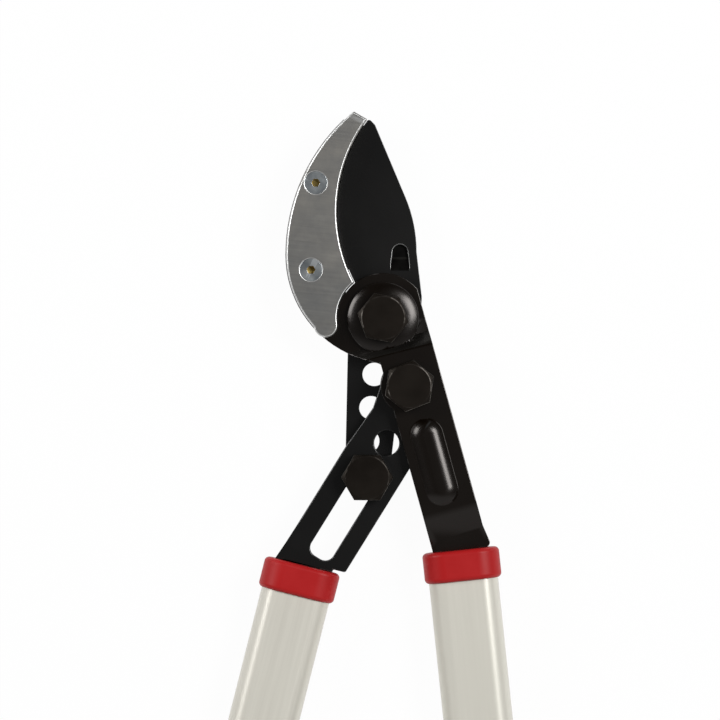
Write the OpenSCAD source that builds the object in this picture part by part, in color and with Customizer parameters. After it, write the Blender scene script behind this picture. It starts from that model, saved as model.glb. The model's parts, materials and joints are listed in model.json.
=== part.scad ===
// Compound-action lopper with a curved anvil, lying on its back with the jaw closed.
// X points right, Y points from the handles to the jaw and Z points up.
// The main pivot is the axis X = 0, Y = 0. Z = 0 is the face the lopper lies on.

/* [Plates] */
// Thickness of the arm, the lever and the blade
plate_t = 5; // [4:0.1:6]
// Running gap between plates that turn past each other
plate_gap = 0.3; // [0.2:0.05:0.6]
// Gap between a fixed piece and its seat
fit_gap = 0.05; // [0.02:0.01:0.1]

/* [Bolts] */
// Width across the flats of the three bolt heads
head_af = 19; // [17:0.1:21]
// Height of the three bolt heads
head_h = 7.5; // [6:0.1:9]
// Diameter of the main bolt
main_d = 12; // [10:0.1:13]
// Diameter of the lever bolt
lever_d = 8; // [6:0.1:8.6]
// Diameter of the slide bolt
slide_d = 7; // [6:0.1:7.6]
// Width across the flats of the nuts
nut_af = 18; // [17:0.1:19]
// Height of the nuts
nut_h = 4.8; // [4:0.1:6]
// Thickness of the washers
washer_t = 1; // [0.8:0.1:1.4]
// Outer diameter of the main and lever washers
washer_d = 21; // [20:0.1:23]
// Outer diameter of the slide washer
slide_washer_d = 18; // [17:0.1:18.6]
// Length of bolt that stands out of the main nut
bolt_stand = 0.4; // [0.3:0.1:1]
// Turn of the main bolt head
main_turn = 50; // [0:1:60]
// Turn of the lever bolt head
lever_turn = 21.5; // [0:0.5:60]
// Turn of the slide bolt head
slide_turn = 0; // [0:1:60]

/* [Bushes] */
// Wall of the main bush
main_bush_wall = 2; // [1.5:0.1:2.5]
// Wall of the lever bush
lever_bush_wall = 1.9; // [1.5:0.1:2.2]
// Width of the lip that holds the lever on its bush
lever_lip = 0.6; // [0.4:0.1:0.7]
// Radial play of a bush in a turning plate
turn_play = 0.05; // [0.03:0.01:0.1]
// Play of the slide bush on each side of the slot
slot_play = 0.1; // [0.05:0.01:0.2]
// Radial play of the slide bolt in the blade's tang
tang_play = 2.2; // [2.1:0.1:2.6]

/* [Linkage] */
// Lever pivot to the right of the main pivot
lever_x = 11; // [10:0.1:12]
// Lever pivot below the main pivot
lever_y = 28.5; // [27.5:0.1:30]
// Slide bolt to the left of the main pivot
slide_x = 6.65; // [6:0.05:7.5]
// Slide bolt below the main pivot
slide_y = 66.9; // [65:0.1:69]

/* [Jaw] */
// Centre of the cutting edge's arc to the right of the main pivot
edge_x = 45.8; // [45:0.1:47]
// Centre of the cutting edge's arc above the main pivot
edge_y = 44.8; // [44:0.1:46]
// Radius of the cutting edge
edge_r = 64.9; // [64:0.1:66]
// Gap between the closed blade and the anvil
jaw_gap = 0.3; // [0.25:0.05:0.5]
// Width of the ground bevel behind the cutting edge
bevel_w = 9; // [6:0.5:11]
// Thickness left at the ground edge
edge_land = 0.4; // [0.3:0.1:0.8]
// Radius of the blade's hub
hub_r = 16; // [15:0.1:17]
// Tilt of the upper half of the blade's back
back_tilt = 22.8; // [20:0.2:25]
// Radius of the curve in the blade's back
back_r = 59.2; // [55:0.2:62]
// Centre of that curve to the left of the main pivot
back_x = 45; // [43:0.1:46]
// Centre of that curve above the main pivot
back_y = 27.8; // [25:0.1:30]
// Height of the blade's tip above the main pivot
tip_y = 83.4; // [82:0.1:84.4]
// Corner cut at the back of the tip
tip_cut = 2; // [1:0.1:3]
// Right end of the blade's lower back
heel_x = 16.4; // [15:0.1:17]
// Upper end of the blade's lower back
heel_y = 8.8; // [6:0.1:12]

/* [Stop tongue] */
// Centre of the tongue's round end to the right of the main pivot
tongue_x = 7.2; // [7:0.1:8]
// Centre of the tongue's round end above the main pivot
tongue_y = 27.8; // [25:0.1:28.2]
// Radius of the tongue's round end
tongue_r = 3.2; // [2.6:0.1:3.8]
// Width of the tongue at its root
tongue_root_w = 8.2; // [7:0.1:8.6]
// Length from the root to the centre of the round end
tongue_side = 7.9; // [7:0.1:8.4]
// Length of the slope from the root
tongue_slope = 5.3; // [4:0.1:6]
// Step in from the cut to the side of the tongue behind the blade
tongue_play = 0.1; // [0.05:0.05:0.3]
// Depth that the tongue is pressed back
tongue_depth = 1.8; // [1:0.1:2.4]

/* [Tang] */
// Left edge of the tang beside the main pivot
tang_left = 14.7; // [14:0.1:15.5]
// Gap between the tang and the lip of the lever's bush
tang_clear = 0.4; // [0.3:0.05:0.6]
// Right edge of the tang below the lever pivot
tang_low_x = 4.9; // [4:0.1:5.5]
// Distance of that edge's corner below the main pivot
tang_low_y = 48; // [44:0.5:52]
// Radius of the tang's round end
tang_end_r = 9.3; // [9:0.1:9.8]
// Radius of the round holes in the tang
tang_hole_r = 4.9; // [4:0.1:5.2]
// Distance from one round hole to the next
tang_hole_step = 14.1; // [13.6:0.1:14.4]
// Distance of the first round hole below the main pivot
tang_hole_y = 23.7; // [23.2:0.1:24.4]
// Shift of the first round hole to the left
tang_hole_x = 3.7; // [3.4:0.1:4.4]
// Lean of the row of round holes
tang_hole_lean = 5.5; // [4:0.5:7]

/* [Anvil] */
// Distance from the main pivot to the anvil's left side
anvil_left = 40.6; // [39:0.1:42]
// Centre of the anvil's outer arcs above the main pivot
anvil_y = 26.5; // [25:0.1:28]
// Radius of the long outer arc
anvil_long_r = 78.1; // [77:0.1:79]
// Radius of the short outer arc
anvil_short_r = 45.4; // [44:0.1:47]
// Distance from the main pivot to the anvil's upper end
anvil_end = 68.9; // [67:0.1:71]
// Tilt of the anvil's upper end
anvil_end_tilt = 30; // [26:0.5:34]
// Angle of the anvil's round lower end below the level of the main pivot
anvil_low_angle = 7.5; // [5:0.5:9]
// Thickness of the anvil's front cheek
cheek_t = 4; // [3.4:0.1:5]
// Chamfer along the cheek's front rim
rim_c = 0.5; // [0.3:0.1:0.9]
// Width of the anvil's full-depth rib
rib_w = 4.9; // [4:0.1:5.4]
// Width of the carrier that shows beyond the anvil
carrier_lip = 0.4; // [0.2:0.1:1]
// Distance from the carrier's upper end to the anvil's
carrier_short = 4.8; // [4:0.1:6]
// Diameter of the screw heads
screw_head_d = 9.6; // [9:0.1:10.6]
// Diameter of the screws
screw_d = 6; // [5:0.1:6.5]
// Width of the hex socket in the screws
socket_af = 3.2; // [2.6:0.1:4]
// Depth of the hex socket
socket_h = 2.4; // [1.5:0.1:2.8]
// Upper screw to the left of the main pivot
screw_top_x = 28.2; // [27.5:0.1:28.8]
// Upper screw above the main pivot
screw_top_y = 56.7; // [55:0.1:58]
// Lower screw to the left of the main pivot
screw_low_x = 30.2; // [29:0.1:31]
// Lower screw above the main pivot
screw_low_y = 20.2; // [18:0.1:22]

/* [Arm] */
// Radius of the arm's disc round the main pivot
disc_r = 18.9; // [18.4:0.1:19.4]
// Radius of the boss on the disc
boss_r = 15.1; // [14.5:0.1:16]
// Radius of the boss's flat top
boss_top_r = 8.2; // [7.5:0.1:9]
// Radius of the boss's round shoulder
boss_round_r = 13.4; // [11:0.1:15]
// Height of the boss
boss_h = 4; // [3.5:0.1:4.6]
// Radius of the arm round the lever pivot
arm_lobe_r = 12; // [11:0.1:12.5]
// Tilt of the arm
arm_tilt = 15.5; // [14.5:0.1:16.5]
// Width of the arm
arm_w = 23.3; // [22:0.1:25]
// Distance of the arm's middle line from the main pivot
arm_shift = 5.5; // [5:0.1:6]
// Rounding of the arm's lower right corner
arm_corner_r = 2; // [1:0.1:2.4]
// Angle that the arm's right edge flares out by above the collar
arm_flare = 8; // [3:0.5:12]
// Start of the flare below the main pivot
flare_from = 95; // [94:0.1:97]
// Start of the bend towards the lever pivot
bend_up = 12.4; // [11.5:0.1:12.8]
// Length of that bend
bend_up_len = 5; // [4.6:0.1:5.2]
// Start of the bend towards the handle
bend_down = 84.4; // [82:0.1:86]
// Length of that bend
bend_down_len = 10.9; // [9:0.1:11.5]
// Start of the arm's raised bead
bead_start = 52.3; // [50:0.1:54]
// End of the arm's raised bead
bead_end = 75.6; // [73:0.1:77]
// Middle of the bead to the right of the main pivot, across the arm
bead_x = 4.5; // [4:0.1:5.5]
// Width of the bead
bead_w = 13.6; // [12:0.1:15]
// Height of the bead
bead_h = 2.4; // [1.5:0.1:3]
// Radius of the bead's round sides
bead_r = 7.4; // [6:0.1:8]

/* [Lever] */
// Tilt of the lever and of its slot
slot_tilt = 31.8; // [31:0.1:32.6]
// Width of the slot
slot_w = 10.7; // [10.2:0.1:11.2]
// Rounding of the corners at the slot's lower end
slot_corner_r = 4; // [3:0.1:5]
// Length of the slot above the slide bolt
slot_up = 2; // [1:0.1:2.5]
// Radius of the round hole above the slot
lever_hole_r = 5.25; // [4.5:0.05:5.5]
// Distance from the slide bolt to the round hole
lever_hole_up = 16.5; // [15.8:0.1:17]
// Shift of the round hole to the left of the slot's middle
lever_hole_x = 0.6; // [0:0.1:1]
// Length of the slot below the slide bolt
slot_down = 34.3; // [32:0.1:36]
// Width of the lever to the left of the slot's middle
lever_left = 14.5; // [13.8:0.1:15.2]
// Width of the lever to the right of the slot's middle
lever_right = 13.3; // [12.6:0.1:14]
// Radius of the lever round its pivot
lever_lobe_r = 12.2; // [11.4:0.1:12.4]
// Length of the lever's straight left edge above the slide bolt
lever_edge = 6; // [4:0.5:10]
// Depth of the waist in the lever's left edge
lever_waist = 1.2; // [0.5:0.1:2]
// Distance from the lever pivot to the end of the waist, along the slot
lever_neck = 15.9; // [15:0.1:17]
// Turn round the lever pivot from the level to where the neck meets the lobe
neck_turn = 33; // [28:0.5:36]
// Start of the step in the lever's lower edge, to the right of the collar's middle
lever_step_x = 12.7; // [12:0.1:14]
// Height of that step over the collar
lever_step = 1.3; // [0.5:0.1:2]
// Rounding of the lever's lower right corner
lever_corner_r = 1.2; // [0.8:0.1:3]

/* [Handles] */
// Right collar's upper end to the right of the main pivot
right_x = 32.5; // [32:0.1:33]
// Right collar's upper end below the main pivot
right_y = 97.4; // [96:0.1:99]
// Tilt of the right handle
right_tilt = 6; // [4:0.2:8]
// Left collar's upper end to the left of the main pivot
left_x = 33.6; // [33:0.1:34.2]
// Left collar's upper end below the main pivot
left_y = 103.8; // [102:0.1:105]
// Tilt of the left handle
left_tilt = 14.2; // [12:0.2:16]
// Width of the handle tubes
tube_w = 29.2; // [27:0.1:30]
// Thickness of the handle tubes
tube_t = 15; // [14:0.1:16.5]
// Wall of the handle tubes
tube_wall = 1.6; // [1.2:0.1:2]
// Distance from a collar's upper end to the end of its tube
tube_end = 548; // [500:1:600]
// Width of the collars
collar_w = 32.4; // [31.6:0.1:34]
// Thickness of the collars
collar_t = 19; // [18:0.1:21]
// Height of the collars
collar_h = 13; // [10:0.1:14]
// Rounding of the collars
collar_r = 2; // [1:0.1:2.8]
// Thickness of a collar's upper end
collar_floor = 3; // [2:0.1:4]
// Gap between a collar and the wide end of its plate
plate_rise = 0.05; // [0:0.05:2]
// Width of the plates inside the tubes
shank_w = 16; // [14:0.1:18]
// Length of the plates inside the collars and tubes
shank_len = 108; // [104:1:120]
// Distance from a collar's upper end to the first rivet
rivet_first = 80; // [76:1:84]
// Distance between the rivets
rivet_step = 17; // [14:0.5:18]
// Diameter of the rivets
rivet_d = 5; // [4:0.1:6]
// Diameter of the rivet heads
rivet_head_d = 8.5; // [8:0.1:10]
// Height of the rivet heads
rivet_head_h = 1.4; // [1:0.1:2]

/* [Grips] */
// Width of the grips
grip_w = 38; // [36:0.5:42]
// Length of the grips
grip_len = 150; // [120:1:180]
// Rounding of the grips' ends
grip_r = 6; // [3:0.5:8]
// Width of the rings at the grips' ends
grip_ring_h = 13; // [12:0.5:18]
// Depth of the waist between the grips' end rings
grip_waist = 1.6; // [0.5:0.1:2.5]
// Height of the end caps
cap_h = 5; // [4:0.1:8]
// Rounding of the end caps
cap_r = 2; // [1:0.1:2.4]
// Step from the grip to its end cap
cap_step = 1; // [0.5:0.1:2]
// Length of the end cap inside the tube
cap_plug = 18; // [10:0.5:30]

/* [Hidden] */
$fn = 48;
big = 300;
cut = 1;
arc_steps = 8;
hex_corner = cos(30);
// Chamfer on the heads and nuts: width of the flat as a share of the head's, and angle
head_flat = 0.95;
head_chamfer = 30;
// Heights of the plates, counted from the rest face up
nut_z = bolt_stand;
washer_z = nut_z + nut_h;
under_z = washer_z + washer_t;
blade_z = under_z + plate_gap;
blade_top = blade_z + plate_t;
mid_z = blade_top + plate_gap;
mid_top = mid_z + plate_t;
front_z = mid_top + plate_gap;
front_top = front_z + plate_t;
axis_z = mid_z + plate_t / 2;
boss_top = mid_top + boss_h;
cheek_top = mid_top + cheek_t;
// Radii that follow from the fits
main_bush_r = main_d / 2 + fit_gap + main_bush_wall;
lever_bush_r = lever_d / 2 + fit_gap + lever_bush_wall;
lever_lip_r = lever_bush_r + lever_lip;
slide_bush_r = slot_w / 2 - slot_play;
anvil_edge_r = edge_r + jaw_gap;
carrier_edge_r = anvil_edge_r + rib_w + fit_gap;
anvil_arc_r = disc_r + jaw_gap;
tang_right = lever_x - lever_lip_r - tang_clear;
// Centres of the anvil's outer arcs, which meet on its left side
anvil_x = anvil_long_r - anvil_left;
short_x = anvil_short_r - anvil_left;
// Round lower end of the anvil, between its inner and outer arcs
low_dir = [-cos(anvil_low_angle), -sin(anvil_low_angle)];
low_mid = low_dir * [short_x, anvil_y];
low_out = low_mid + sqrt(pow(low_mid, 2) + pow(anvil_short_r, 2) - pow(short_x, 2) - pow(anvil_y, 2));
low_r = (low_out - anvil_arc_r) / 2;
low_c = low_dir * (anvil_arc_r + low_r);
// Lever pivot as seen from the slide bolt along the slot
lever_dx = lever_x + slide_x;
lever_dy = slide_y - lever_y;
pivot_across = lever_dx * cos(slot_tilt) - lever_dy * sin(slot_tilt);
pivot_along = lever_dx * sin(slot_tilt) + lever_dy * cos(slot_tilt);
// Half the width of the bead's flat top
bead_flat = bead_w / 2 - sqrt(pow(bead_r, 2) - pow(bead_r - bead_h, 2));
tube_top = -collar_floor;

// Frames of the bolts, the arm, the lever and the handles
module at_lever_bolt() {
    translate([lever_x, -lever_y, 0]) children();
}

module at_slide_bolt() {
    translate([-slide_x, -slide_y, 0]) children();
}

module at_arm() {
    rotate(arm_tilt) children();
}

module at_slot() {
    at_slide_bolt() rotate(-slot_tilt) children();
}

module at_right() {
    translate([right_x, -right_y, axis_z]) rotate(right_tilt) children();
}

module at_left() {
    translate([-left_x, -left_y, axis_z]) rotate(-left_tilt) children();
}

module at_screws() {
    translate([-screw_top_x, screw_top_y, 0]) children();
    translate([-screw_low_x, screw_low_y, 0]) children();
}

// Half planes: everything above the X axis, and everything left of the Y axis
module above() {
    translate([-big, 0]) square([2 * big, big]);
}

module left_of() {
    translate([-big, -big]) square([big, 2 * big]);
}

// Hex head with a turned chamfer on its upper face
module hex_head(af, h) {
    intersection() {
        cylinder(h = h, d = af / hex_corner, $fn = 6);
        cylinder(h = h, d1 = head_flat * af + 2 * h / tan(head_chamfer), d2 = head_flat * af);
    }
}

module hex_bolt(d, from_z, seat_z, turn) {
    translate([0, 0, from_z]) cylinder(h = seat_z - from_z + cut, d = d);
    translate([0, 0, seat_z]) rotate(turn) hex_head(head_af, head_h);
}

module ring(outer_r, inner_r, from_z, to_z) {
    difference() {
        translate([0, 0, from_z]) cylinder(h = to_z - from_z, r = outer_r);
        translate([0, 0, from_z - cut]) cylinder(h = to_z - from_z + 2 * cut, r = inner_r);
    }
}

module thin_nut(d, turn) {
    difference() {
        translate([0, 0, washer_z]) mirror([0, 0, 1]) rotate(turn) hex_head(nut_af, nut_h);
        translate([0, 0, nut_z - cut]) cylinder(h = nut_h + 2 * cut, r = d / 2 + fit_gap);
    }
}

// Flat oval outline, and a flat oval block with rounded rims
module oval(w, t) {
    square([w - t, t], center = true);
    for (side = [-1, 1]) translate([side * (w - t) / 2, 0]) circle(d = t);
}

module rim_profile(half, h, r) {
    square([half - r, h]);
    translate([0, r]) square([half, h - 2 * r]);
    for (y = [r, h - r]) translate([half - r, y]) circle(r);
}

module oval_block(w, t, h, r) {
    for (side = [-1, 1])
        translate([side * (w - t) / 2, 0, 0]) rotate_extrude() rim_profile(t / 2, h, r);
    rotate([90, 0, 90]) linear_extrude(w - t, center = true) {
        rim_profile(t / 2, h, r);
        mirror([1, 0]) rim_profile(t / 2, h, r);
    }
}

// Stands an outline across the handle and extrudes it down the handle
module along(from_y, length) {
    translate([0, from_y, 0]) rotate([90, 0, 0]) linear_extrude(length) children();
}

// Waste at a corner with one side along -X and the other leaning left by the given angle
module corner_waste(lean, r) {
    open = 90 - lean;
    t = r / tan(open / 2);
    difference() {
        polygon([
            [cut, -cut], [-t, -cut], [-t, r], [-t * sin(lean), t * cos(lean)],
            [cut * cos(lean) - t * sin(lean), cut * sin(lean) + t * cos(lean)]]);
        translate([-t, r]) circle(r);
    }
}

// Outline inside the anvil's two outer arcs, left of the main pivot
module outer_arcs(grow) {
    intersection() {
        translate([anvil_x, anvil_y]) circle(anvil_long_r + grow, $fn = 180);
        translate([0, anvil_y]) above();
        left_of();
    }
    intersection() {
        translate([short_x, anvil_y]) circle(anvil_short_r + grow, $fn = 120);
        translate([0, anvil_y]) mirror([0, 1]) above();
        left_of();
    }
}

module upper_end(short) {
    rotate(-anvil_end_tilt) translate([0, anvil_end - short]) mirror([0, 1]) above();
}

module anvil_outline() {
    difference() {
        intersection() {
            outer_arcs(0);
            upper_end(0);
            rotate(anvil_low_angle) above();
        }
        translate([edge_x, edge_y]) circle(anvil_edge_r, $fn = 180);
        circle(anvil_arc_r, $fn = 96);
    }
    translate(low_c) circle(low_r);
}

// Front rim of the anvil, with every side leaning in by the chamfer
module anvil_rim() {
    difference() {
        intersection() {
            union() {
                intersection() {
                    translate([anvil_x, anvil_y, 0])
                        cylinder(h = rim_c, r1 = anvil_long_r, r2 = anvil_long_r - rim_c, $fn = 180);
                    linear_extrude(rim_c) translate([0, anvil_y]) above();
                }
                intersection() {
                    translate([short_x, anvil_y, 0])
                        cylinder(h = rim_c, r1 = anvil_short_r, r2 = anvil_short_r - rim_c, $fn = 120);
                    linear_extrude(rim_c) translate([0, anvil_y]) mirror([0, 1]) above();
                }
            }
            linear_extrude(rim_c) intersection() {
                left_of();
                rotate(anvil_low_angle) above();
            }
            rotate(-anvil_end_tilt) translate([0, anvil_end, 0]) rotate([45, 0, 0])
                translate([-big, -2 * big, -big]) cube(2 * big);
        }
        translate([edge_x, edge_y, 0])
            cylinder(h = rim_c, r1 = anvil_edge_r, r2 = anvil_edge_r + rim_c, $fn = 180);
        cylinder(h = rim_c, r1 = anvil_arc_r, r2 = anvil_arc_r + rim_c, $fn = 96);
    }
    translate([low_c[0], low_c[1], 0]) cylinder(h = rim_c, r1 = low_r, r2 = low_r - rim_c);
}

module anvil() {
    sink = (screw_head_d - screw_d) / 2;
    color("silver") difference() {
        union() {
            translate([0, 0, mid_top]) linear_extrude(cheek_t - rim_c) anvil_outline();
            translate([0, 0, cheek_top - rim_c]) anvil_rim();
            translate([0, 0, blade_z]) linear_extrude(mid_top - blade_z + fit_gap) intersection() {
                anvil_outline();
                translate([edge_x, edge_y]) circle(anvil_edge_r + rib_w, $fn = 180);
                rotate(-anvil_end_tilt) above();
            }
        }
        at_screws() {
            translate([0, 0, mid_top - cut]) cylinder(h = cheek_t, r = screw_d / 2 + fit_gap);
            translate([0, 0, cheek_top - sink])
                cylinder(h = sink, r1 = screw_d / 2 + fit_gap, r2 = screw_head_d / 2 + fit_gap);
            translate([0, 0, cheek_top]) cylinder(h = cut, d = screw_head_d + 2 * fit_gap);
        }
    }
}

module anvil_screws() {
    sink = (screw_head_d - screw_d) / 2;
    color("lightsteelblue") at_screws() difference() {
        union() {
            translate([0, 0, mid_z + fit_gap]) cylinder(h = cheek_top - sink - mid_z, d = screw_d);
            translate([0, 0, cheek_top - sink])
                cylinder(h = sink, d1 = screw_d, d2 = screw_head_d);
        }
        translate([0, 0, cheek_top - socket_h])
            cylinder(h = socket_h + cut, d = socket_af / hex_corner, $fn = 6);
    }
}

// Arm plate: carrier for the anvil, disc, lobe, strip and the shank in the right tube
module arm_outline() {
    right_edge = arm_shift + arm_w / 2;
    left_edge = arm_shift - arm_w / 2;
    strip_top = sqrt(pow(disc_r, 2) - pow(right_edge, 2));
    difference() {
        intersection() {
            outer_arcs(carrier_lip);
            upper_end(carrier_short);
        }
        translate([edge_x, edge_y]) circle(carrier_edge_r, $fn = 180);
    }
    intersection() {
        circle(disc_r, $fn = 96);
        at_arm() translate([right_edge, 0]) left_of();
    }
    translate([lever_x, -lever_y]) circle(arm_lobe_r);
    difference() {
        intersection() {
            at_arm() polygon([
                [left_edge, strip_top], [right_edge, strip_top], [right_edge, -flare_from],
                [right_edge + big * tan(arm_flare), -flare_from - big], [left_edge, -flare_from - big]]);
            translate([right_x, -right_y]) rotate(right_tilt) translate([0, plate_rise]) above();
        }
        arm_corner();
    }
}

module arm_corner() {
    lean = arm_tilt - right_tilt + arm_flare;
    right_edge = arm_shift + arm_w / 2;
    from_x = right_edge * cos(arm_tilt) + flare_from * sin(arm_tilt) - right_x;
    from_y = right_edge * sin(arm_tilt) - flare_from * cos(arm_tilt) + right_y;
    across = from_x * cos(right_tilt) + from_y * sin(right_tilt);
    up = from_y * cos(right_tilt) - from_x * sin(right_tilt);
    reach = across + (up - plate_rise) * tan(lean);
    translate([right_x, -right_y]) rotate(right_tilt) translate([reach, plate_rise])
        corner_waste(lean, arm_corner_r);
}

// Side view of the arm plate, bent up over the lever and down again to the handle
module arm_bends() {
    step = front_z - mid_z;
    up_shift = plate_t * tan(atan2(step, bend_up_len) / 2);
    down_shift = plate_t * tan(atan2(step, bend_down_len) / 2);
    rise = [
        [big, mid_z], [big, mid_top],
        [-bend_up + up_shift, mid_top], [-bend_up - bend_up_len + up_shift, front_top],
        [-bend_down - down_shift, front_top], [-bend_down - bend_down_len - down_shift, mid_top],
        [-big, mid_top], [-big, mid_z],
        [-bend_down - bend_down_len, mid_z], [-bend_down, front_z],
        [-bend_up - bend_up_len, front_z], [-bend_up, mid_z]
    ];
    at_arm() rotate([90, 0, 90]) linear_extrude(2 * big, center = true) polygon(rise);
}

// Round block with a flat top and a round shoulder
module dome(flat_r, shoulder_r) {
    cylinder(h = shoulder_r, r = flat_r);
    rotate_extrude() intersection() {
        translate([flat_r, 0]) circle(shoulder_r);
        square(flat_r + shoulder_r);
    }
}

module bead_body(face_z) {
    length = bead_end - bead_start;
    at_arm() translate([bead_x, -bead_start, face_z + bead_h - bead_r]) {
        translate([-bead_flat, -length, 0]) cube([2 * bead_flat, length, bead_r]);
        for (side = [-1, 1]) translate([side * bead_flat, 0, 0]) rotate([90, 0, 0])
            cylinder(h = length, r = bead_r);
        for (y = [0, -length]) translate([0, y, 0]) dome(bead_flat, bead_r);
    }
}

// Boss with a round shoulder between its flat top and its wall
module boss() {
    intersection() {
        translate([0, 0, boss_top - boss_round_r]) dome(boss_top_r, boss_round_r);
        translate([0, 0, mid_z + cut]) cylinder(h = boss_top, r = boss_r);
    }
}

module anvil_arm() {
    cavity_r = boss_r - boss_h;
    color("dimgray") difference() {
        union() {
            intersection() {
                translate([0, 0, mid_z]) linear_extrude(front_top - mid_z) arm_outline();
                arm_bends();
            }
            at_right() shank();
            boss();
            intersection() {
                bead_body(front_top);
                translate([-big, -big, front_z + plate_t / 2]) cube(2 * big);
            }
        }
        translate([0, 0, mid_z - cut]) cylinder(h = boss_top, r = main_d / 2 + fit_gap);
        translate([0, 0, mid_z - cut]) cylinder(h = boss_h + cut, r = cavity_r);
        intersection() {
            bead_body(front_z);
            translate([-big, -big, front_z - cut]) cube([2 * big, 2 * big, plate_t]);
        }
        at_lever_bolt() translate([0, 0, mid_z]) cylinder(h = front_top, r = lever_d / 2 + fit_gap);
        at_screws() translate([0, 0, mid_z - cut]) cylinder(h = front_top, r = screw_d / 2 + fit_gap);
        at_right() at_rivets() rivet_hole();
    }
}

// Blade with its hub, its tang and the tongue pressed back out of it
module blade_outline() {
    tip_x = back_r * cos(back_tilt) - back_x;
    slope = tan(back_tilt);
    tip_base = back_r * sin(back_tilt) + back_y;
    back_at_tip = tip_x - (tip_y - tip_cut - tip_base) * slope;
    arc = [for (i = [0:arc_steps])
        [back_r * cos(back_tilt * i / arc_steps) - back_x,
         back_r * sin(back_tilt * i / arc_steps) + back_y]];
    polygon(concat(
        [[-hub_r, 0], [hub_r, 0], [heel_x, heel_y]],
        arc,
        [[back_at_tip, tip_y - tip_cut], [back_at_tip - tip_cut, tip_y], [-edge_r, tip_y], [-edge_r, 0]]));
}

module tongue_outline(grow) {
    lean = atan2(tongue_root_w / 2 - tongue_r, tongue_side);
    r = tongue_r + grow;
    half = tongue_root_w / 2 + grow;
    translate([tongue_x, tongue_y]) {
        circle(r);
        polygon([
            [-r * cos(lean), r * sin(lean)], [-half, -tongue_side],
            [half, -tongue_side], [r * cos(lean), r * sin(lean)]]);
    }
}

// Slice of the tongue from the given height, pressed back behind its root, up by the given thickness
module tongue_slice(grow, from_z, t) {
    root = tongue_y - tongue_side;
    tip = tongue_y + 2 * tongue_r;
    side = [
        [root, from_z], [root + tongue_slope, from_z - tongue_depth], [tip, from_z - tongue_depth],
        [tip, from_z + t], [root, from_z + t]
    ];
    intersection() {
        translate([tongue_x, 0, 0]) rotate([90, 0, 90])
            linear_extrude(2 * tongue_root_w, center = true) polygon(side);
        linear_extrude(front_z) tongue_outline(grow);
    }
}

module tang_outline() {
    polygon([
        [-tang_left, -hub_r / 2], [-slide_x - tang_end_r, -slide_y],
        [-slide_x + tang_end_r, -slide_y], [tang_low_x, -tang_low_y],
        [tang_right, -lever_y], [tang_right, -hub_r / 2]]);
    translate([-slide_x, -slide_y]) circle(tang_end_r);
    circle(hub_r);
}

module blade() {
    color("dimgray") difference() {
        union() {
            difference() {
                translate([0, 0, blade_z]) intersection() {
                    linear_extrude(plate_t) blade_outline();
                    translate([edge_x, edge_y, 0]) union() {
                        cylinder(h = plate_t - edge_land, r1 = edge_r - bevel_w, r2 = edge_r, $fn = 180);
                        translate([0, 0, plate_t - edge_land]) cylinder(h = edge_land, r = edge_r, $fn = 180);
                    }
                }
                tongue_slice(0, blade_top, cut);
            }
            translate([0, 0, blade_z]) linear_extrude(plate_t) tang_outline();
            tongue_slice(-tongue_play, blade_z, cut);
        }
        translate([0, 0, blade_z - cut]) cylinder(h = plate_t + 2 * cut, r = main_bush_r + turn_play);
        for (i = [0:2])
            translate([
                -tang_hole_x - i * tang_hole_step * sin(tang_hole_lean),
                -tang_hole_y - i * tang_hole_step * cos(tang_hole_lean), blade_z - cut])
                cylinder(h = plate_t + 2 * cut, r = tang_hole_r);
        at_slide_bolt() translate([0, 0, blade_z - cut])
            cylinder(h = plate_t + 2 * cut, r = slide_d / 2 + tang_play);
    }
}

// Lever plate with its slot and the shank in the left tube
module lever_strip() {
    intersection() {
        at_slot() polygon([
            [-lever_left, -big], [-lever_left, lever_edge],
            [-lever_left + lever_waist, pivot_along - lever_neck],
            [pivot_across - lever_lobe_r * cos(neck_turn), pivot_along - lever_lobe_r * sin(neck_turn)],
            [pivot_across, pivot_along],
            [pivot_across + lever_lobe_r, pivot_along],
            [lever_right, lever_hole_up], [lever_right, -big]]);
        translate([-left_x, -left_y]) rotate(-left_tilt) translate([0, plate_rise]) above();
    }
}

module lever_corner() {
    lean = slot_tilt - left_tilt;
    origin_across = (slide_x - left_x) * cos(slot_tilt) + (left_y - slide_y) * sin(slot_tilt);
    reach = (lever_right - origin_across) / cos(lean) + lever_step * tan(lean);
    translate([-left_x, -left_y]) rotate(-left_tilt) translate([reach, lever_step])
        corner_waste(-lean, lever_corner_r);
}

// Slot with a round upper end and a lower end with round corners
module slot_outline() {
    corner_x = slot_w / 2 - slot_corner_r;
    corner_y = slot_down + corner_x;
    translate([0, slot_up]) circle(d = slot_w);
    translate([-slot_w / 2, -corner_y]) square([slot_w, slot_up + corner_y]);
    translate([-corner_x, -corner_y - slot_corner_r]) square([2 * corner_x, slot_corner_r + cut]);
    for (side = [-1, 1]) translate([side * corner_x, -corner_y]) circle(slot_corner_r);
}

module drive_lever() {
    color("dimgray") difference() {
        union() {
            translate([0, 0, mid_z]) linear_extrude(plate_t) lever_strip();
            at_lever_bolt() translate([0, 0, mid_z]) cylinder(h = plate_t, r = lever_lobe_r);
            at_left() shank();
        }
        translate([0, 0, mid_z - cut]) linear_extrude(plate_t + 2 * cut) lever_corner();
        at_left() translate([lever_step_x, lever_step - collar_h, -plate_t])
            cube([collar_w, collar_h, 2 * plate_t]);
        translate([0, 0, mid_z - cut]) linear_extrude(plate_t + 2 * cut) at_slot() {
            slot_outline();
        }
        at_slot() translate([-lever_hole_x, lever_hole_up, mid_z - cut])
            cylinder(h = plate_t + 2 * cut, r = lever_hole_r);
        at_lever_bolt() translate([0, 0, mid_z - cut])
            cylinder(h = plate_t + 2 * cut, r = lever_bush_r + turn_play);
        at_left() at_rivets() rivet_hole();
    }
}

// Main pivot: bolt, bush, spring ring in the boss, washer and nut
module main_bolt() {
    color("dimgray") hex_bolt(main_d, 0, boss_top, main_turn);
}

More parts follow.
